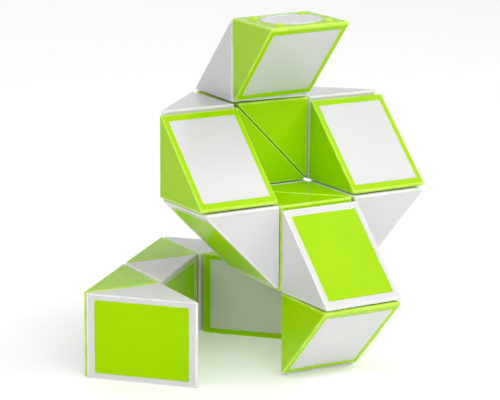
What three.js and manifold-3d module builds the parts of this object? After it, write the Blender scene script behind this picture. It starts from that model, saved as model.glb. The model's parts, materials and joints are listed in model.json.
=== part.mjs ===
// A twisty snake puzzle of 24 wedges, folded up. Every wedge is half a cube: a hollow moulded shell whose
// slanted face is closed by a panel. Neighbours meet on square faces and turn about a bolt through the
// middle of those faces. Millimetres, +Z up. The folded snake stands on the triangular sides of its lowest
// layer, with the origin under the middle of its box.

import * as THREE from "three";
import { ConvexGeometry } from "three/addons/geometries/ConvexGeometry.js";
import { mergeVertices } from "three/addons/utils/BufferGeometryUtils.js";
import Module from "manifold-3d";

// Wedge
const PITCH = 24.4; // from one cube cell of the fold to the next
const FACE_GAP = 0.5; // between the square faces of two neighbours
const SLANT_INSET = 0.15; // from the middle of the cell to the slanted face
const EDGE_RADIUS = 0.75; // round both triangular sides and where the square faces meet
const ACUTE_RADIUS = 0.4; // where a square face meets the slanted face
const EDGE_STEPS = 3; // facets across a rounded edge
const WALL = 2.0;
const HALF = (PITCH - FACE_GAP) / 2; // from the middle of the cell to a square face
const INNER_HALF = HALF - WALL;

// Panel in the slanted face
const PANEL_LENGTH = 27.2;
const PANEL_WIDTH = 20.8;
const PANEL_THICKNESS = 1.2;
const FIT_GAP = 0.3; // between a shell and what sits in it

// Bolt, which is screwed into one wedge and turns in the next
const BOLT_SIDES = 10;
const SHANK_RADIUS = 1.5;
const HOLE_RADIUS = 2.0;
const HEAD_RADIUS = 2.7;
const HEAD_HEIGHT = 1.6;
const SPRING_SPACE = 2.8; // between the wall and the bolt's head
const BOSS_RADIUS = 2.9;
const BOSS_LENGTH = 4.2;

// Detents that hold each quarter turn
const DETENT_OFFSET = 7.7; // from the middle of the face, along both of its sides
const DETENT_SIDES = 6;
const BUMP_RADIUS = 1.1;
const BUMP_TOP_RADIUS = 0.6;
const BUMP_HEIGHT = 0.45;
const DIMPLE_RADIUS = 1.5;
const DIMPLE_DEPTH = 0.4;

// Round caps over the unused bolt places on the two ends
const CAP_SIDES = 32;
const CAP_RADIUS = 8.4;
const CAP_THICKNESS = 0.8;
const CAP_PROUD = 0.25;

// Where the snake goes: the way it leaves each wedge, from the free end at the top to the one at the bottom
const FIRST_FACE = "+Z";
const ROUTE =
  "+Y -Z +X -Y -Z -X +Y +Z -X -Y -Z +X -Y -Z +Y +X +Y -X +Y -X -Y -X -Y +X".split(" ");
const WAYS = {
  "+X": new THREE.Vector3(1, 0, 0),
  "-X": new THREE.Vector3(-1, 0, 0),
  "+Y": new THREE.Vector3(0, 1, 0),
  "-Y": new THREE.Vector3(0, -1, 0),
  "+Z": new THREE.Vector3(0, 0, 1),
  "-Z": new THREE.Vector3(0, 0, -1),
};

// Its top two wedges and its lowest layer are turned a little off their clicks, in degrees about +Z, and the
// first wedge is turned a little about its bolt
const TOP_WEDGES = 2;
const TOP_HEADING = -3.6;
const FIRST_WEDGE_TURN = -1.7;
const LAST_SQUARE_WEDGE = 14;
const BOTTOM_HEADING = -2.3;

const wasm = await Module();
wasm.setup();

function solid(geometry) {
  const bare = geometry.clone();
  bare.deleteAttribute("normal");
  bare.deleteAttribute("uv");
  const merged = mergeVertices(bare, 1e-4);
  const vertProperties = new Float32Array(merged.attributes.position.array);
  const triVerts = new Uint32Array(merged.index.array);
  return new wasm.Manifold(new wasm.Mesh({ numProp: 3, vertProperties, triVerts }));
}

function geometryOf(shape) {
  const mesh = shape.getMesh();
  const positions = new THREE.BufferAttribute(mesh.vertProperties, 3);
  const geometry = new THREE.BufferGeometry().setAttribute("position", positions);
  geometry.setIndex(new THREE.BufferAttribute(mesh.triVerts, 1));
  const faceted = geometry.toNonIndexed();
  faceted.computeVertexNormals();
  return faceted;
}

// A wedge's own frame has its origin in the middle of the cell, +X out of its first square face and +Y out
// of its second, so its slanted face looks along -X -Y.
const SLANT_LINE = SLANT_INSET * Math.SQRT2; // x + y on the slanted face
const SLANT_OUT = new THREE.Vector3(-1, -1, 0).normalize();
const SLANT_ALONG = new THREE.Vector3(1, -1, 0).normalize();

// The outline across the wedge's width, moved in by an inset. Each corner is rounded between the directions of
// its two faces, in degrees from +X.
function outlineAt(inset) {
  const edgeRadius = Math.max(EDGE_RADIUS - inset, 0);
  const acuteRadius = Math.max(ACUTE_RADIUS - inset, 0);
  const square = HALF - inset - edgeRadius;
  const near = HALF - inset - acuteRadius;
  const far = SLANT_LINE + (inset + acuteRadius) * Math.SQRT2 - near;
  const corners = [
    { x: square, y: square, from: 0, to: 90, radius: edgeRadius },
    { x: far, y: near, from: 90, to: 225, radius: acuteRadius },
    { x: near, y: far, from: 225, to: 360, radius: acuteRadius },
  ];
  return corners.flatMap(({ x, y, from, to, radius }) => {
    const steps = radius > 0 ? EDGE_STEPS : 0;
    const points = [];
    for (let i = 0; i <= steps; i++) {
      const angle = THREE.MathUtils.degToRad(from + ((to - from) * i) / EDGE_STEPS);
      points.push([x + radius * Math.cos(angle), y + radius * Math.sin(angle)]);
    }
    return points;
  });
}

function roundedWedge() {
  const points = [];
  for (let i = 0; i <= EDGE_STEPS; i++) {
    const turn = (Math.PI / 2) * (i / EDGE_STEPS);
    const height = HALF - EDGE_RADIUS * (1 - Math.sin(turn));
    for (const [x, y] of outlineAt(EDGE_RADIUS * (1 - Math.cos(turn)))) {
      points.push(new THREE.Vector3(x, y, height), new THREE.Vector3(x, y, -height));
    }
  }
  return solid(new ConvexGeometry(points));
}

// An outline in the wedge's XY plane, drawn through its width.
function slab(outline, width) {
  const shape = new THREE.Shape(outline.map(([x, y]) => new THREE.Vector2(x, y)));
  const geometry = new THREE.ExtrudeGeometry(shape, { depth: width, bevelEnabled: false });
  return solid(geometry.translate(0, 0, -width / 2));
}

// The point at a place along the slanted face and a depth below it.
function onSlant(along, depth) {
  const point = SLANT_OUT.clone().multiplyScalar(-SLANT_INSET - depth);
  point.addScaledVector(SLANT_ALONG, along);
  return [point.x, point.y];
}

// A plate let into the slanted face, with ends that lean in, parallel to the square faces.
function slantPlate(length, width, above, below) {
  const end = length / 2;
  const outline = [
    onSlant(-end - above, -above),
    onSlant(-end + below, below),
    onSlant(end - below, below),
    onSlant(end + above, -above),
  ];
  return slab(outline, width);
}

function cavity() {
  const start = SLANT_LINE + (PANEL_THICKNESS / 2) * Math.SQRT2; // inside the panel's pocket
  const outline = [
    [INNER_HALF, INNER_HALF],
    [start - INNER_HALF, INNER_HALF],
    [INNER_HALF, start - INNER_HALF],
  ];
  return slab(outline, 2 * INNER_HALF);
}

// A round piece that stands on a square face, between two heights above it. Its axis is the face's own,
// or one moved across and up the face.
function roundOn(face, from, to, radiusFrom, radiusTo, sides, across = 0, up = 0) {
  const geometry = new THREE.CylinderGeometry(radiusTo, radiusFrom, to - from, sides);
  geometry.translate(across, HALF + (from + to) / 2, up);
  if (face === "first") {
    geometry.rotateZ(-Math.PI / 2);
  }
  return solid(geometry);
}

function detents(face, from, to, radiusFrom, radiusTo) {
  const places = [-DETENT_OFFSET, DETENT_OFFSET];
  return places.flatMap((across) =>
    places.map((up) => roundOn(face, from, to, radiusFrom, radiusTo, DETENT_SIDES, across, up)),
  );
}

function bolt() {
  const headFrom = FACE_GAP + WALL + SPRING_SPACE;
  const headTo = headFrom + HEAD_HEIGHT;
  const shank = roundOn("first", -WALL, headTo - HEAD_HEIGHT / 2, SHANK_RADIUS, SHANK_RADIUS, BOLT_SIDES);
  return shank.add(roundOn("first", headFrom, headTo, HEAD_RADIUS, HEAD_RADIUS, BOLT_SIDES));
}

function capRecess(face) {
  const radius = CAP_RADIUS + FIT_GAP;
  const bottom = CAP_PROUD - CAP_THICKNESS - FIT_GAP;
  return roundOn(face, bottom, EDGE_RADIUS, radius, radius, CAP_SIDES);
}

function shell(isFirst, isLast) {
  const pocketLength = PANEL_LENGTH + 2 * FIT_GAP;
  const pocketWidth = PANEL_WIDTH + 2 * FIT_GAP;
  const pocketDepth = PANEL_THICKNESS + FIT_GAP;
  let shape = roundedWedge();
  shape = shape.subtract(slantPlate(pocketLength, pocketWidth, EDGE_RADIUS, pocketDepth));
  shape = shape.subtract(cavity());
  shape = shape.add(roundOn("first", -WALL - BOSS_LENGTH, -WALL / 2, BOSS_RADIUS, BOSS_RADIUS, BOLT_SIDES));
  for (const dimple of detents("second", -DIMPLE_DEPTH, FACE_GAP, DIMPLE_RADIUS, DIMPLE_RADIUS)) {
    shape = shape.subtract(dimple);
  }
  for (const bump of detents("first", -WALL / 2, BUMP_HEIGHT, BUMP_RADIUS, BUMP_TOP_RADIUS)) {
    shape = shape.add(bump);
  }
  if (isFirst) {
    shape = shape.subtract(capRecess("first"));
  } else {
    shape = shape.add(bolt());
  }
  if (isLast) {
    shape = shape.subtract(capRecess("second"));
  } else {
    shape = shape.subtract(roundOn("second", -2 * WALL, FACE_GAP, HOLE_RADIUS, HOLE_RADIUS, BOLT_SIDES));
  }
  return geometryOf(shape);
}

function panel() {
  return geometryOf(slantPlate(PANEL_LENGTH, PANEL_WIDTH, 0, PANEL_THICKNESS));
}

function cap(face) {
  return geometryOf(roundOn(face, CAP_PROUD - CAP_THICKNESS, CAP_PROUD, CAP_RADIUS, CAP_RADIUS, CAP_SIDES));
}

const LIME = { color: 0xa4dc00, roughness: 0.28, metalness: 0 };
const WHITE = { color: 0xf1f1ef, roughness: 0.26, metalness: 0 };

function addPiece(parent, name, geometry, look) {
  const piece = new THREE.Mesh(geometry, new THREE.MeshStandardMaterial(look));
  piece.name = name;
  parent.add(piece);
}

function headingOf(number) {
  if (number <= TOP_WEDGES) {
    return TOP_HEADING;
  }
  return number <= LAST_SQUARE_WEDGE ? 0 : BOTTOM_HEADING;
}

const snake = new THREE.Group();
const place = new THREE.Vector3();
let cameFrom = FIRST_FACE;
ROUTE.forEach((step, index) => {
  const number = index + 1;
  const isLime = number % 2 === 1;
  const heading = new THREE.Matrix4().makeRotationZ(THREE.MathUtils.degToRad(headingOf(number)));
  const first = WAYS[cameFrom].clone().applyMatrix4(heading);
  const second = WAYS[step].clone().applyMatrix4(heading);
  if (number === 1) {
    first.applyAxisAngle(second, THREE.MathUtils.degToRad(FIRST_WEDGE_TURN));
  }
  const side = new THREE.Vector3().crossVectors(first, second);
  const name = "wedge_" + String(number).padStart(2, "0");
  const wedge = new THREE.Group();
  wedge.quaternion.setFromRotationMatrix(new THREE.Matrix4().makeBasis(first, second, side));
  wedge.position.copy(place);
  addPiece(wedge, name + "_shell", shell(number === 1, number === ROUTE.length), isLime ? LIME : WHITE);
  addPiece(wedge, name + "_panel", panel(), isLime ? WHITE : LIME);
  if (number === 1) {
    addPiece(wedge, "head_cap", cap("first"), WHITE);
  }
  if (number === ROUTE.length) {
    addPiece(wedge, "tail_cap", cap("second"), LIME);
  }
  snake.add(wedge);
  place.addScaledVector(second, PITCH);
  cameFrom = (step[0] === "+" ? "-" : "+") + step[1];
});

const box = new THREE.Box3().setFromObject(snake, true);
const middle = box.getCenter(new THREE.Vector3());
for (const wedge of snake.children) {
  wedge.position.sub(new THREE.Vector3(middle.x, middle.y, box.min.z));
}

export default snake;
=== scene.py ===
"""The folded twisty snake puzzle, as it looks: 24 hollow moulded wedges with a panel in each slanted face,
the bolt, spring and washer of every joint, the two round end caps, and a white studio.

Shapes are drawn in millimetres in a wedge's own frame: its origin is in the middle of the cube cell that the
wedge half fills, +X comes out of its first square face, +Y out of its second, and the slanted face looks
along -X -Y. Each wedge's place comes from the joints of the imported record."""

import json
import math

import bmesh
import bpy
from mathutils import Matrix, Vector


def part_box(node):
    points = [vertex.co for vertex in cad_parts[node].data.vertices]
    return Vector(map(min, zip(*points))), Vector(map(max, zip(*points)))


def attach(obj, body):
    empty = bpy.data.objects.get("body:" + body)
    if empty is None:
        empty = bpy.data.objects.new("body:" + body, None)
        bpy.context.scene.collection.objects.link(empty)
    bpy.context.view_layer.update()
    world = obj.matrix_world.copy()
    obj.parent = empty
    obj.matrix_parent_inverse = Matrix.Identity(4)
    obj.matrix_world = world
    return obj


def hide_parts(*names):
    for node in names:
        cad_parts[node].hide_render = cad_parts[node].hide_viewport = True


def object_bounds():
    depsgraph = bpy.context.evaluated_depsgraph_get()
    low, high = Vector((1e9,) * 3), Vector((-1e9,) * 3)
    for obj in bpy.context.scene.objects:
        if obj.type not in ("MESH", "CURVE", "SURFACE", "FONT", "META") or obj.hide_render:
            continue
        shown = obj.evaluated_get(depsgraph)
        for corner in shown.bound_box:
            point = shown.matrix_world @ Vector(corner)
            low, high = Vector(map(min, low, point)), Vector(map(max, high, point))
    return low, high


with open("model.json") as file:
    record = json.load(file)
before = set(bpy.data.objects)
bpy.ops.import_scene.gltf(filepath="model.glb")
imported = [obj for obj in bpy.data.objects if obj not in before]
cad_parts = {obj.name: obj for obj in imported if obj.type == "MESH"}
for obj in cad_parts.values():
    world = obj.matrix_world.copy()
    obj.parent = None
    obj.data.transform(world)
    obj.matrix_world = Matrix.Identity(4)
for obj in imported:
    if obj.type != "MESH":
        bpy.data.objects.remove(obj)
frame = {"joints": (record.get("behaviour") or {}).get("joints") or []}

CAD_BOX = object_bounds()

MM = 0.001
WEDGES = 24

# Wedge, in millimetres
FACE_GAP = 0.24  # between the square faces of two neighbours
SLANT_INSET = 0.15  # from the middle of the cell to the slanted face
EDGE_RADIUS = 0.6  # round the square faces
SLANT_RADIUS = 0.35  # where a triangular side meets the slanted face
ACUTE_RADIUS = 0.65  # where a square face meets the slanted face
EDGE_STEPS = 8
WALL = 2.0
CAVITY_CORNER = 0.8

# Panel and the pocket that it is pressed into
PANEL_LENGTH = 27.35
PANEL_WIDTH = 20.85
PANEL_THICKNESS = 1.2
PANEL_CORNER = 0.3
PANEL_EDGE = 0.12  # radius of its front edge
FIT = 0.02  # gap round a pressed-in piece
LIP = 0.08  # radius of the pocket's lip
SMALL_STEPS = 4

# Bolt, spring and washer of a joint
SHANK_RADIUS = 1.5
HOLE_RADIUS = 2.0
HEAD_RADIUS = 2.7
HEAD_HEIGHT = 1.6
SPRING_SPACE = 2.8
BOSS_RADIUS = 2.9
BOSS_LENGTH = 4.2
THREAD_PITCH = 0.8
THREAD_DEPTH = 0.22
WASHER_THICKNESS = 0.4
WIRE_RADIUS = 0.2
SPRING_RADIUS = 2.2
SPRING_TURNS = 4.5
SPRING_CLEARANCE = 0.05  # between the wall and the spring's first turn
SPRING_STEPS = 28  # in a turn of the wire
WIRE_SIDES = 10
SPRING_FLAT_SHARE = 0.2  # of its length of wire that lies flat at each end
SEAT_GAP = 0.03  # between the spring, the washer and the bolt's head
WASHER_EDGE = 0.06
WASHER_PLAY = 0.12  # between the washer's bore and the shank
TIP_SHARE = 0.55  # of the shank's radius at its tip
TIP_START = 0.2  # from the boss's end to the tip
THREAD_START = 0.8  # from the boss's end to the thread
THREAD_END = 0.3  # from the thread to the first face
THREAD_ROWS = 4  # rings of points in a pitch
HEAD_ROUND_SHARE = 0.6  # of the head's height that is rounded
CROSS_REACH = 1.5  # half the length of a slot of the cross
CROSS_HALF_WIDTH = 0.28
CROSS_DEPTH = 0.9
CROSS_FLOOR_SHARE = 0.45  # size at the cross's floor
CROSS_MOUTH_SHARE = 1.3  # size above the head

# Detents
DETENT_OFFSET = 7.7
BUMP_RADIUS = 1.35
BUMP_HEIGHT = 0.2  # between two wedges
HEAD_BUMP_HEIGHT = 0.8
DIMPLE_RADIUS = 1.5
DIMPLE_DEPTH = 0.4
DOME_FLAT = 0.02  # radius of the flat on top of a bump or a dimple

# End caps
CAP_RADIUS = 8.4
CAP_THICKNESS = 0.8
CAP_PROUD = 0.25
CAP_EDGE = 0.18
CAP_RING_RADIUS = 6.6
CAP_RING_WIDTH = 0.5
CAP_RING_DEPTH = 0.12

ROUND_STEPS = 48
OVERSHOOT = 1.0  # how far a cutter reaches past the face that it cuts


# ---------------------------------------------------------------- places of the wedges

def name_of(number):
    return f"wedge_{number:02d}"


def middle_of(node):
    low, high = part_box(node)
    return (low + high) / 2


def wedge_places():
    """The pitch of the cells in metres, and each wedge's matrix from its own frame to the row's."""
    hinges, ways = [], []
    by_name = {joint["name"]: joint for joint in frame["joints"]}
    for number in range(1, WEDGES):
        joint = by_name[f"turn_{number:02d}_{number + 1:02d}"]
        forward = 1 if joint["child"] == name_of(number + 1) else -1
        hinges.append(Vector(joint["pos_m"]))
        ways.append(forward * Vector(joint["axis"]).normalized())
    pitch = (hinges[1] - hinges[0]).length * math.sqrt(2)
    centres = [hinges[0] - ways[0] * pitch / 2]
    centres += [hinge + way * pitch / 2 for hinge, way in zip(hinges, ways)]
    firsts = [(middle_of("head_cap") - centres[0]).normalized()] + [-way for way in ways]
    seconds = ways + [(middle_of("tail_cap") - centres[-1]).normalized()]
    places = []
    for centre, first, second in zip(centres, firsts, seconds):
        turn = Matrix((first, second, first.cross(second))).transposed().to_4x4()
        places.append(Matrix.Translation(centre) @ turn @ Matrix.Scale(MM, 4))
    return pitch, places


PITCH_M, PLACES = wedge_places()
HALF = (PITCH_M / MM - FACE_GAP) / 2  # from the middle of the cell to a square face
INNER_HALF = HALF - WALL
SLANT_OUT = Vector((-1, -1, 0)).normalized()
SLANT_ALONG = Vector((1, -1, 0)).normalized()
UP = Vector((0, 0, 1))


# ---------------------------------------------------------------- drawing solids

def closed(bm):
    bmesh.ops.recalc_face_normals(bm, faces=bm.faces)
    return bm


def loft(rings):
    """A closed solid through rings of as many points each, with a flat face at both ends."""
    bm = bmesh.new()
    rows = [[bm.verts.new(point) for point in ring] for ring in rings]
    for lower, upper in zip(rows, rows[1:]):
        for i in range(len(lower)):
            j = (i + 1) % len(lower)
            bm.faces.new((lower[i], lower[j], upper[j], upper[i]))
    bm.faces.new(rows[0])
    bm.faces.new(rows[-1])
    return closed(bm)


def arc(start, end, steps):
    """Angles from start to end in degrees, both included."""
    return [math.radians(start + (end - start) * i / steps) for i in range(steps + 1)]


def rounded_rectangle(half_length, half_width, radius):
    """Points round a rectangle with rounded corners, as pairs."""
    points = []
    for quarter, (right, up) in enumerate(((1, 1), (-1, 1), (-1, -1), (1, -1))):
        for angle in arc(90 * quarter, 90 * quarter + 90, SMALL_STEPS):
            x = right * (half_length - radius) + radius * math.cos(angle)
            y = up * (half_width - radius) + radius * math.sin(angle)
            points.append((x, y))
    return points


def on_slant(along, across, depth):
    """The point on or below the slanted face."""
    return SLANT_OUT * (-SLANT_INSET - depth) + SLANT_ALONG * along + UP * across


def slant_solid(length, width, corner, levels):
    """A solid let into the slanted face. Its ends lean in with depth, parallel to the square faces, and each
    level is a depth and how much wider the solid is there on every side."""
    rings = []
    for depth, wider in levels:
        outline = rounded_rectangle(length / 2 - depth + wider, width / 2 + wider, corner)
        rings.append([on_slant(x, y, depth) for x, y in outline])
    return loft(rings)


def on_face(face, height, across, up):
    """The point at a height above a square face, across and up it from its middle."""
    if face == "first":
        return Vector((HALF + height, across, up))
    return Vector((across, HALF + height, up))


def turned(face, profile, across=0.0, up=0.0, steps=ROUND_STEPS):
    """A turned solid on a square face. Its profile is pairs of radius and height above the face."""
    rings = []
    for radius, height in profile:
        ring = [(radius * math.cos(a), radius * math.sin(a)) for a in arc(0, 360, steps)[:-1]]
        rings.append([on_face(face, height, across + x, up + y) for x, y in ring])
    return loft(rings)


def outline_at(inset, slant_inset):
    """The wedge's outline across its width, with its square faces and its slanted face moved in. Each corner
    is rounded between the directions of its two faces, in degrees from +X."""
    edge_radius, acute_radius = EDGE_RADIUS - inset, ACUTE_RADIUS - inset
    square = HALF - inset - edge_radius
    near = HALF - inset - acute_radius
    far = (SLANT_INSET + slant_inset + acute_radius) * math.sqrt(2) - near
    corners = [
        (square, square, edge_radius, 0, 90),
        (far, near, acute_radius, 90, 225),
        (near, far, acute_radius, 225, 360),
    ]
    points = []
    for x, y, radius, start, end in corners:
        for angle in arc(start, end, EDGE_STEPS):
            points.append((x + radius * math.cos(angle), y + radius * math.sin(angle)))
    return points


def inset_at(drop, radius):
    """How far a face whose edge is rounded has moved in, at a drop below the triangular side."""
    return radius - math.sqrt(radius**2 - max(radius - drop, 0.0) ** 2)


def rounded_wedge():
    """The outside of a wedge: a half cube whose edges and corners are rounded."""
    bm = bmesh.new()
    for turn in arc(0, 90, EDGE_STEPS):
        drop = EDGE_RADIUS * (1 - math.sin(turn))
        for x, y in outline_at(inset_at(drop, EDGE_RADIUS), inset_at(drop, SLANT_RADIUS)):
            bm.verts.new((x, y, HALF - drop))
            bm.verts.new((x, y, drop - HALF))
    bmesh.ops.remove_doubles(bm, verts=bm.verts, dist=1e-4)
    bmesh.ops.convex_hull(bm, input=bm.verts)
    flat = math.radians(0.5)
    bmesh.ops.dissolve_limit(bm, angle_limit=flat, verts=bm.verts, edges=bm.edges)
    return closed(bm)


def rounded_outline(corners, radius):
    """The points round an outline in the wedge's XY plane, with its corners rounded by bends."""
    points = []
    for before, corner, after in zip(corners[-1:] + corners[:-1], corners, corners[1:] + corners[:1]):
        back = (Vector(before) - Vector(corner)).normalized()
        ahead = (Vector(after) - Vector(corner)).normalized()
        reach = radius / math.tan(back.angle(ahead) / 2)
        start, end = Vector(corner) + back * reach, Vector(corner) + ahead * reach
        for i in range(SMALL_STEPS + 1):
            t = i / SMALL_STEPS
            points.append(start * (1 - t) ** 2 + 2 * t * (1 - t) * Vector(corner) + end * t * t)
    return points


def cavity():
    """The hollow inside a shell, open to the panel's pocket."""
    start = SLANT_INSET * math.sqrt(2) + PANEL_THICKNESS / 2 * math.sqrt(2)
    corners = [(INNER_HALF, INNER_HALF), (start - INNER_HALF, INNER_HALF), (INNER_HALF, start - INNER_HALF)]
    outline = rounded_outline(corners, CAVITY_CORNER)
    return loft([[Vector((x, y, side * INNER_HALF)) for x, y in outline] for side in (-1, 1)])


def round_over(width, depth_at, radius, steps=SMALL_STEPS):
    """Pairs of width and height round a convex edge, from its side up to its top at depth_at."""
    return [
        (width - radius + radius * math.cos(a), depth_at - radius + radius * math.sin(a))
        for a in arc(0, 90, steps)
    ]


def detent_places():
    offsets = (-DETENT_OFFSET, DETENT_OFFSET)
    return [(across, up) for across in offsets for up in offsets]


def dome(radius, height, steps=6):
    """The profile of a low ball-shaped dome, from its foot to a small flat on its top."""
    ball = (radius**2 + height**2) / (2 * height)
    lean = math.degrees(math.asin(radius / ball))
    leans = arc(lean, 0, steps)
    return [(max(ball * math.sin(a), DOME_FLAT), ball * math.cos(a) - ball + height) for a in leans]


def bump(across, up, height):
    profile = [(BUMP_RADIUS, -WALL / 2)] + dome(BUMP_RADIUS, height)
    return turned("first", profile, across, up, ROUND_STEPS // 2)


def dimple(across, up):
    profile = [(DIMPLE_RADIUS, OVERSHOOT)] + [(r, -h) for r, h in dome(DIMPLE_RADIUS, DIMPLE_DEPTH)]
    return turned("second", profile, across, up, ROUND_STEPS // 2)


# ---------------------------------------------------------------- joining and cutting

def temporary(bm):
    mesh = bpy.data.meshes.new("temporary")
    bm.to_mesh(mesh)
    bm.free()
    made = bpy.data.objects.new("temporary", mesh)
    bpy.context.scene.collection.objects.link(made)
    return made


def applied(made):
    """The object's mesh with its modifiers applied. The object is removed."""
    depsgraph = bpy.context.evaluated_depsgraph_get()
    mesh = bpy.data.meshes.new_from_object(made.evaluated_get(depsgraph))
    bpy.data.objects.remove(made)
    return mesh


def worked(base, steps):
    """The mesh of the solid base after each step in turn. A step is DIFFERENCE or UNION, and the solids."""
    made = temporary(base)
    tools = []
    for operation, solids in steps:
        for solid in solids:
            tool = temporary(solid)
            tools.append(tool)
            modifier = made.modifiers.new(operation.lower(), "BOOLEAN")
            modifier.operation = operation
            modifier.solver = "MANIFOLD"
            modifier.object = tool
    mesh = applied(made)
    for tool in tools:
        bpy.data.objects.remove(tool)
    return mesh


# ---------------------------------------------------------------- shells and panels

def pocket():
    """What the panel's pocket takes away, with a lip that opens out at the face."""
    floor = PANEL_THICKNESS + FIT
    levels = [(-OVERSHOOT, LIP)] + [
        (LIP * (1 - math.cos(a)), LIP * (1 - math.sin(a))) for a in arc(0, 90, SMALL_STEPS)
    ]
    levels.append((floor, 0.0))
    return slant_solid(PANEL_LENGTH + 2 * FIT, PANEL_WIDTH + 2 * FIT, PANEL_CORNER + FIT, levels)


def hole():
    """The bolt's hole through the second face, with a small lead-in outside."""
    mouth = HOLE_RADIUS + LIP
    profile = [(HOLE_RADIUS, -2 * WALL), (HOLE_RADIUS, -LIP), (mouth, 0), (mouth, OVERSHOOT)]
    return turned("second", profile)


def boss():
    profile = [(BOSS_RADIUS - LIP, -WALL - BOSS_LENGTH), (BOSS_RADIUS, -WALL - BOSS_LENGTH + LIP)]
    return turned("first", profile + [(BOSS_RADIUS, -WALL / 2)])


def pilot():
    """The bore that the bolt is screwed into."""
    radius = SHANK_RADIUS - THREAD_DEPTH / 2
    return turned("first", [(radius, -WALL - BOSS_LENGTH - OVERSHOOT), (radius, OVERSHOOT)])


def cap_recess(face):
    radius = CAP_RADIUS + FIT
    bottom = CAP_PROUD - CAP_THICKNESS - FIT
    profile = [(radius, bottom), (radius, -LIP), (radius + LIP, 0), (radius + LIP, OVERSHOOT)]
    return turned(face, profile, steps=2 * ROUND_STEPS)


def shell_mesh(is_first, is_last):
    cuts = [pocket(), cavity()]
    late_cuts = [dimple(*place) for place in detent_places()]
    if is_first:
        late_cuts.append(cap_recess("first"))
    else:
        late_cuts.append(pilot())
    late_cuts.append(cap_recess("second") if is_last else hole())
    bump_height = HEAD_BUMP_HEIGHT if is_first else BUMP_HEIGHT
    joins = [boss()] + [bump(*place, bump_height) for place in detent_places()]
    return worked(rounded_wedge(), [("DIFFERENCE", cuts), ("UNION", joins), ("DIFFERENCE", late_cuts)])


def panel_mesh():
    """A plate with a rounded front edge, flush with the slanted face."""
    edge = [(-height, width) for width, height in round_over(0.0, 0.0, PANEL_EDGE)]
    levels = [(PANEL_THICKNESS, 0.0)] + edge
    return applied(temporary(slant_solid(PANEL_LENGTH, PANEL_WIDTH, PANEL_CORNER, levels)))


def cap_mesh(face):
    """A disc with a rounded edge and a shallow ring round its middle."""
    inner, outer = CAP_RING_RADIUS - CAP_RING_WIDTH / 2, CAP_RING_RADIUS + CAP_RING_WIDTH / 2
    sunk = CAP_PROUD - CAP_RING_DEPTH
    profile = [(CAP_RADIUS, CAP_PROUD - CAP_THICKNESS)] + round_over(CAP_RADIUS, CAP_PROUD, CAP_EDGE)
    profile += [(outer, CAP_PROUD), (outer - CAP_RING_DEPTH, sunk)]
    profile += [(inner + CAP_RING_DEPTH, sunk), (inner, CAP_PROUD)]
    return applied(temporary(turned(face, profile, steps=2 * ROUND_STEPS)))


# ---------------------------------------------------------------- bolt, washer and spring

WALL_INSIDE = FACE_GAP + WALL  # the neighbour's wall, seen from the first face
HEAD_FROM = WALL_INSIDE + SPRING_SPACE
HEAD_TO = HEAD_FROM + HEAD_HEIGHT


def thread_rings(start, end):
    """Rings of a threaded shank, one spiral ridge in each pitch of its length."""
    rings = []
    count = round((end - start) / THREAD_PITCH * THREAD_ROWS)
    for row in range(count + 1):
        height = start + (end - start) * row / count
        ring = []
        for a in arc(0, 360, ROUND_STEPS // 2)[:-1]:
            phase = (height / THREAD_PITCH - a / math.tau) % 1.0
            radius = SHANK_RADIUS - THREAD_DEPTH * abs(2 * phase - 1)
            ring.append(on_face("first", height, radius * math.cos(a), radius * math.sin(a)))
        rings.append(ring)
    return rings


def bolt_mesh():
    """A pan-head bolt: threaded in the boss, plain where the neighbour turns on it, a cross in its head."""
    def ring(radius, height):
        turns = arc(0, 360, ROUND_STEPS // 2)[:-1]
        return [on_face("first", height, radius * math.cos(a), radius * math.sin(a)) for a in turns]

    rings = [ring(SHANK_RADIUS * TIP_SHARE, -WALL - BOSS_LENGTH + TIP_START)]
    rings += thread_rings(-WALL - BOSS_LENGTH + THREAD_START, -THREAD_END)
    rings += [ring(SHANK_RADIUS, 0.0), ring(SHANK_RADIUS, HEAD_FROM), ring(HEAD_RADIUS, HEAD_FROM)]
    rings += [ring(r, h) for r, h in round_over(HEAD_RADIUS, HEAD_TO, HEAD_HEIGHT * HEAD_ROUND_SHARE)]
    crosses = []
    levels = ((HEAD_TO - CROSS_DEPTH, CROSS_FLOOR_SHARE), (HEAD_TO + OVERSHOOT, CROSS_MOUTH_SHARE))
    for across, up in ((CROSS_REACH, CROSS_HALF_WIDTH), (CROSS_HALF_WIDTH, CROSS_REACH)):
        corners = [(-across, -up), (across, -up), (across, up), (-across, up)]
        bars = []
        for height, share in levels:
            bars.append([on_face("first", height, x * share, y * share) for x, y in corners])
        crosses.append(loft(bars))
    return worked(loft(rings), [("DIFFERENCE", crosses)])


def washer_mesh():
    low, high = HEAD_FROM - WASHER_THICKNESS, HEAD_FROM - SEAT_GAP
    flat = HEAD_RADIUS - WASHER_EDGE
    outer = [(flat, low), (HEAD_RADIUS, low + WASHER_EDGE), (HEAD_RADIUS, high - WASHER_EDGE), (flat, high)]
    bore = [(SHANK_RADIUS + WASHER_PLAY, low - OVERSHOOT), (SHANK_RADIUS + WASHER_PLAY, high + OVERSHOOT)]
    return worked(turned("first", outer), [("DIFFERENCE", [turned("first", bore)])])


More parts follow.
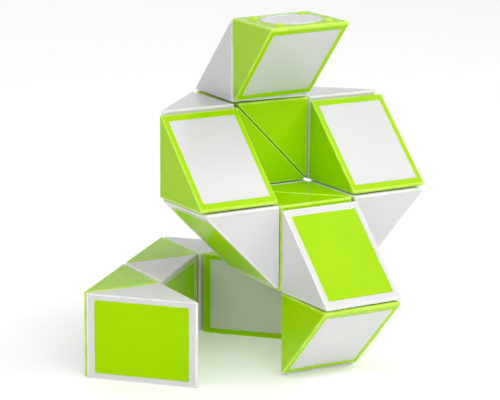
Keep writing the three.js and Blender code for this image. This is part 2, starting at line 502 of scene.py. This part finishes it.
def spring_mesh():
    """A wound wire whose end turns lie flat."""
    low = WALL_INSIDE + WIRE_RADIUS + SPRING_CLEARANCE
    high = HEAD_FROM - WASHER_THICKNESS - WIRE_RADIUS - SEAT_GAP
    steps = round(SPRING_TURNS * SPRING_STEPS)
    rings = []
    for step in range(steps + 1):
        t = step / steps
        turn = math.tau * SPRING_TURNS * t
        share = min(max((t - SPRING_FLAT_SHARE) / (1 - 2 * SPRING_FLAT_SHARE), 0.0), 1.0)
        height = low + (high - low) * share
        ring = []
        for a in arc(0, 360, WIRE_SIDES)[:-1]:
            out = SPRING_RADIUS + WIRE_RADIUS * math.cos(a)
            across, up = out * math.cos(turn), out * math.sin(turn)
            ring.append(on_face("first", height + WIRE_RADIUS * math.sin(a), across, up))
        rings.append(ring)
    return applied(temporary(loft(rings)))


# ---------------------------------------------------------------- materials

def node(tree, kind, **settings):
    made = tree.nodes.new(kind)
    for key, value in settings.items():
        setattr(made, key, value)
    return made


def feed(tree, made, **inputs):
    """Sets a node's inputs, by name or by place (i0 is the first). A socket is linked, and anything else is
    the input's value."""
    for key, value in inputs.items():
        by_place = key[0] == "i" and key[1:].isdigit()
        socket = made.inputs[int(key[1:]) if by_place else key.replace("_", " ")]
        if isinstance(value, bpy.types.NodeSocket):
            tree.links.new(value, socket)
        else:
            socket.default_value = value
    return made


def noise(tree, where, scale, detail=3.0, roughness=0.5):
    made = node(tree, "ShaderNodeTexNoise")
    feed(tree, made, Vector=where, Scale=scale, Detail=detail, Roughness=roughness)
    return made.outputs["Fac"]


def stretched(tree, where, size, spin):
    made = node(tree, "ShaderNodeMapping")
    feed(tree, made, Vector=where, Scale=size, Rotation=spin)
    return made.outputs["Vector"]


def ranged(tree, value, low, high, to_low, to_high):
    """The value from low to high, spread over to_low to to_high, and held there outside it."""
    made = node(tree, "ShaderNodeMapRange", clamp=True)
    feed(tree, made, i0=value, i1=low, i2=high, i3=to_low, i4=to_high)
    return made.outputs[0]


def maths(tree, operation, a, b):
    made = node(tree, "ShaderNodeMath", operation=operation)
    feed(tree, made, i0=a, i1=b)
    return made.outputs[0]


def mixed_colour(tree, share, a, b):
    made = node(tree, "ShaderNodeMix", data_type="RGBA")
    feed(tree, made, i0=share, i6=a, i7=b)
    return made.outputs[2]


def bumped(tree, height, distance, strength, onto=None):
    made = node(tree, "ShaderNodeBump")
    feed(tree, made, Height=height, Distance=distance, Strength=strength)
    if onto is not None:
        feed(tree, made, Normal=onto)
    return made.outputs["Normal"]


def named_value(tree, name):
    """A value that is stored on the mesh."""
    return node(tree, "ShaderNodeAttribute", attribute_name=name).outputs["Fac"]


def new_material(name):
    material = bpy.data.materials.new(name)
    material.use_nodes = True
    tree = material.node_tree
    shader = next(n for n in tree.nodes if n.type == "BSDF_PRINCIPLED")
    where = node(tree, "ShaderNodeTexCoord").outputs["Object"]
    return material, tree, shader, where


ROUNDED = "rounded"  # 1 on a mesh's rounded edges and 0 on its flat faces
SKIN_DEPTH = 0.7 * MM  # how far light spreads inside the plastic
SKIN_DEPTH_SHARE = 0.5


# Noise scales are in features per metre.
PIGMENT_SCALE = 45.0
# Size of the patches where rounded edges are painted paler, partly rubbed wear and partly a painted
# highlight.
RUBBED_AND_HIGHLIGHT_SCALE = 260.0
HANDLING_SCALE = 90.0
WAVE_SCALE = 130.0
GRAIN_SCALE = 5200.0
HAIR_SIZES = (9000, 160, 9000)  # thin across X and Z, long along Y
CROSS_HAIR_SIZES = (220, 7000, 7000)  # long along X
HANDLING_ROUGHNESS = 0.05
SCRATCH_ROUGHNESS = 0.02
RUBBED_ROUGHNESS = 0.09
WAVE_HEIGHT = 0.12 * MM
GRAIN_HEIGHT = 0.012 * MM
SCRATCH_HEIGHT = 0.01 * MM
PLASTIC_IOR = 1.52


def plastic(name, colour, deep, worn_and_highlight, tint, gloss, shine):
    """Glossy moulded plastic: a pigment that is a little uneven, faint waves of the mould, a fine grain, hair
    scratches, handling marks that dull it, and rounded edges painted paler in patches, partly rubbed wear and
    partly a painted highlight. The body runs from deep to colour, gloss is the roughness of a clean face, and
    shine and tint are the strength and colour of its reflections."""
    material, tree, shader, where = new_material(name)
    pigment = ranged(tree, noise(tree, where, PIGMENT_SCALE, 2.0), 0.3, 0.7, 0.0, 1.0)
    body = mixed_colour(tree, pigment, (*deep, 1), (*colour, 1))
    edge = named_value(tree, ROUNDED)
    # Rounded edges get a paler colour in patches: partly rubbed wear, partly a painted highlight standing in
    # for the light that the edges catch.
    wear_and_highlight_patches = ranged(tree, noise(tree, where, RUBBED_AND_HIGHLIGHT_SCALE, 4.0), 0.35, 0.65, 0.45, 0.95)
    rubbed_and_highlight = maths(tree, "MULTIPLY", edge, wear_and_highlight_patches)
    feed(tree, shader, Base_Color=mixed_colour(tree, rubbed_and_highlight, body, (*worn_and_highlight, 1)))
    feed(tree, shader, Subsurface_Weight=SKIN_DEPTH_SHARE, Subsurface_Scale=SKIN_DEPTH)
    feed(tree, shader, Subsurface_Radius=(1, 1, 1))

    handling = ranged(tree, noise(tree, where, HANDLING_SCALE, 4.0, 0.6), 0.45, 0.75, 0.0, HANDLING_ROUGHNESS)
    along_y = stretched(tree, where, HAIR_SIZES, (0.4, 0.9, 0.2))
    hairs = ranged(tree, noise(tree, along_y, 1.0, 2.0), 0.68, 0.8, 0, 1)
    along_x = stretched(tree, where, CROSS_HAIR_SIZES, (1.1, 0.3, 0.7))
    cross_hairs = ranged(tree, noise(tree, along_x, 1.0, 2.0), 0.7, 0.8, 0, 1)
    scratches = maths(tree, "MAXIMUM", hairs, cross_hairs)
    rough = maths(tree, "ADD", handling, maths(tree, "MULTIPLY", scratches, SCRATCH_ROUGHNESS))
    rough = maths(tree, "ADD", rough, maths(tree, "MULTIPLY", edge, RUBBED_ROUGHNESS))
    feed(tree, shader, Roughness=maths(tree, "ADD", rough, gloss))

    waves = bumped(tree, noise(tree, where, WAVE_SCALE, 1.0), WAVE_HEIGHT, 0.22)
    grain = bumped(tree, noise(tree, where, GRAIN_SCALE, 2.0), GRAIN_HEIGHT, 0.35, waves)
    cut = bumped(tree, maths(tree, "SUBTRACT", 1.0, scratches), SCRATCH_HEIGHT, 0.1, grain)
    feed(tree, shader, Normal=cut)
    feed(tree, shader, IOR=PLASTIC_IOR, Specular_IOR_Level=shine, Specular_Tint=(*tint, 1))
    return material


def steel(name, colour, rough, brushed):
    """Plated steel with a fine grain and a few dull stains."""
    material, tree, shader, where = new_material(name)
    stain = ranged(tree, noise(tree, where, 800.0, 4.0, 0.6), 0.45, 0.75, 0.0, 1.0)
    dull = tuple(c * 0.72 for c in colour)
    feed(tree, shader, Base_Color=mixed_colour(tree, stain, (*colour, 1), (*dull, 1)), Metallic=1.0)
    feed(tree, shader, Roughness=maths(tree, "ADD", maths(tree, "MULTIPLY", stain, 0.15), rough))
    lines = noise(tree, stretched(tree, where, (brushed, brushed, brushed * 0.1), (0.3, 0.2, 0.1)), 1.0, 2.0)
    feed(tree, shader, Normal=bumped(tree, lines, 0.01 * MM, 0.4))
    return material


# The paler edge colours below are partly rubbed wear and partly a painted highlight.
LIME = plastic(
    "lime_plastic", colour=(0.41, 0.73, 0.0), deep=(0.385, 0.7, 0.0), worn_and_highlight=(0.66, 0.9, 0.16),
    tint=(0.7, 1.0, 0.05), gloss=0.195, shine=0.3,
)
WHITE = plastic(
    "white_plastic", colour=(0.72, 0.72, 0.72), deep=(0.7, 0.7, 0.7), worn_and_highlight=(0.9, 0.9, 0.9),
    tint=(1, 1, 1), gloss=0.195, shine=0.5,
)
BOLT_STEEL = steel("zinc_plated_steel", (0.72, 0.73, 0.74), 0.26, 9000.0)
SPRING_STEEL = steel("spring_steel", (0.5, 0.5, 0.5), 0.32, 12000.0)


# ---------------------------------------------------------------- making the pieces

SHARP = math.radians(35)
FLAT_WAYS = (Vector((1, 0, 0)), Vector((0, 1, 0)), Vector((0, 0, 1)), SLANT_OUT)
FLAT_SHARE = 0.9995  # cosine of how far a flat face's normal may lean from those


def mark_rounded(mesh):
    """Stores on each face whether it is part of a rounded edge."""
    marks = mesh.attributes.new(ROUNDED, "FLOAT", "FACE")
    for face, mark in zip(mesh.polygons, marks.data):
        mark.value = 0.0 if any(abs(face.normal.dot(way)) > FLAT_SHARE for way in FLAT_WAYS) else 1.0


def piece(name, mesh, place, material, body, stands_for=()):
    """A copy of the mesh at the wedge's place, riding on its body."""
    own = mesh.copy()
    own.name = name
    mark_rounded(own)
    own.transform(place)
    own.materials.clear()
    own.materials.append(material)
    own.shade_smooth()
    own.set_sharp_from_angle(angle=SHARP)
    made = bpy.data.objects.new(name, own)
    bpy.context.scene.collection.objects.link(made)
    weighted = made.modifiers.new("flat faces", "WEIGHTED_NORMAL")
    weighted.keep_sharp = True
    weighted.weight = 100
    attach(made, body)
    if stands_for:
        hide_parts(*stands_for)
    return made


def make_snake():
    middle, first, last = shell_mesh(False, False), shell_mesh(True, False), shell_mesh(False, True)
    plate = panel_mesh()
    bolt, washer, spring = bolt_mesh(), washer_mesh(), spring_mesh()
    for number, place in enumerate(PLACES, 1):
        body = name_of(number)
        odd = number % 2 == 1
        shell_look = (LIME, "lime_plastic") if odd else (WHITE, "white_plastic")
        panel_look = (WHITE, "white_plastic") if odd else (LIME, "lime_plastic")
        shell = first if number == 1 else last if number == WEDGES else middle
        piece(body + "_moulded_shell", shell, place, shell_look[0], body, [body + "_shell"])
        piece(body + "_pressed_panel", plate, place, panel_look[0], body, [body + "_panel"])
        if number > 1:
            joint = f"{number - 1:02d}_{number:02d}"
            piece(f"bolt_{joint}", bolt, place, BOLT_STEEL, body)
            piece(f"washer_{joint}", washer, place, BOLT_STEEL, body)
            piece(f"spring_{joint}", spring, place, SPRING_STEEL, body)
    piece("head_end_cap", cap_mesh("first"), PLACES[0], WHITE, name_of(1), ["head_cap"])
    piece("tail_end_cap", cap_mesh("second"), PLACES[-1], LIME, name_of(WEDGES), ["tail_cap"])


# ---------------------------------------------------------------- studio and camera

FLOOR_SIZE = 6.0
FLOOR_DROP = 0.15 * MM  # just under the lowest faces
FLOOR_GLOW = 0.22  # light that comes up through the floor

WORLD_LEVEL = 0.05
# Name, azimuth and elevation in degrees, distance in metres, width and height in metres, power in watts
LIGHTS = (
    ("front_softbox", -8.0, 38.0, 1.4, (1.0, 1.0), 8.0),
    ("right_softbox", 60.0, 42.0, 1.4, (1.0, 1.0), 8.2),
    ("left_softbox", -80.0, 38.0, 1.4, (1.0, 1.0), 6.2),
    ("high_softbox", 5.0, 60.0, 1.4, (1.0, 1.0), 3.6),
    ("back_softbox", 170.0, 40.0, 1.4, (1.2, 1.2), 6.5),
    ("low_back_softbox", 149.0, 6.3, 1.5, (0.7, 0.2), 0.75),
)

CAMERA_AZIMUTH = 31.21  # how far the view is turned from +Y towards +X
CAMERA_ELEVATION = 12.83
CAMERA_ROLL = 0.41
CAMERA_DISTANCE = 0.5868  # from the point on its axis nearest to the middle of the box
CAMERA_AIM = (0.00298, -0.00359)  # where that point lies from the middle, right and up in the view
CAMERA_LENS = 150.1
CAMERA_SENSOR = 36.0


def make_floor():
    bm = bmesh.new()
    bmesh.ops.create_grid(bm, x_segments=4, y_segments=4, size=FLOOR_SIZE / 2)
    mesh = bpy.data.meshes.new("studio_floor")
    bm.to_mesh(mesh)
    bm.free()
    floor = bpy.data.objects.new("studio_floor", mesh)
    floor.location.z = -FLOOR_DROP
    material, tree, shader, where = new_material("studio_paper")
    tone = ranged(tree, noise(tree, where, 3.0), 0.3, 0.7, 0.0, 1.0)
    feed(tree, shader, Base_Color=mixed_colour(tree, tone, (0.9, 0.9, 0.9, 1), (0.92, 0.92, 0.92, 1)))
    feed(tree, shader, Roughness=0.9, Specular_IOR_Level=0.1)
    feed(tree, shader, Emission_Color=(1, 1, 1, 1), Emission_Strength=FLOOR_GLOW)
    mesh.materials.append(material)
    bpy.context.scene.collection.objects.link(floor)


def soft_light(name, azimuth, elevation, distance, size, power):
    """A soft light that faces the snake. Azimuth 0 stands on the -Y side and 90 on the +X side."""
    data = bpy.data.lights.new(name, "AREA")
    data.shape = "RECTANGLE"
    data.size, data.size_y = size
    data.energy = power
    made = bpy.data.objects.new(name, data)
    a, e = math.radians(azimuth), math.radians(elevation)
    back = Vector((math.sin(a) * math.cos(e), -math.cos(a) * math.cos(e), math.sin(e)))
    made.location = MIDDLE + back * distance
    made.rotation_euler = back.to_track_quat("Z", "Y").to_euler()
    made.visible_camera = False
    bpy.context.scene.collection.objects.link(made)


def make_world(level):
    world = bpy.data.worlds.new("studio")
    world.use_nodes = True
    background = next(n for n in world.node_tree.nodes if n.type == "BACKGROUND")
    background.inputs["Color"].default_value = (1.0, 1.0, 1.0, 1.0)
    background.inputs["Strength"].default_value = level
    bpy.context.scene.world = world


def make_camera():
    a, e = math.radians(CAMERA_AZIMUTH), math.radians(CAMERA_ELEVATION)
    ahead = Vector((math.sin(a) * math.cos(e), math.cos(a) * math.cos(e), -math.sin(e)))
    right = Vector((math.cos(a), -math.sin(a), 0.0))
    up = right.cross(ahead)
    data = bpy.data.cameras.new("camera")
    data.sensor_width = CAMERA_SENSOR
    data.lens = CAMERA_LENS
    camera = bpy.data.objects.new("camera", data)
    aim = MIDDLE + right * CAMERA_AIM[0] + up * CAMERA_AIM[1]
    roll = Matrix.Rotation(-math.radians(CAMERA_ROLL), 3, ahead)
    axes = Matrix((roll @ right, roll @ up, -ahead)).transposed()
    camera.matrix_world = Matrix.Translation(aim - ahead * CAMERA_DISTANCE) @ axes.to_4x4()
    bpy.context.scene.collection.objects.link(camera)
    bpy.context.scene.camera = camera


MIDDLE = (CAD_BOX[0] + CAD_BOX[1]) / 2

make_snake()
make_floor()
make_world(WORLD_LEVEL)
for light in LIGHTS:
    soft_light(*light)
make_camera()
bpy.context.scene.view_settings.view_transform = "Standard"
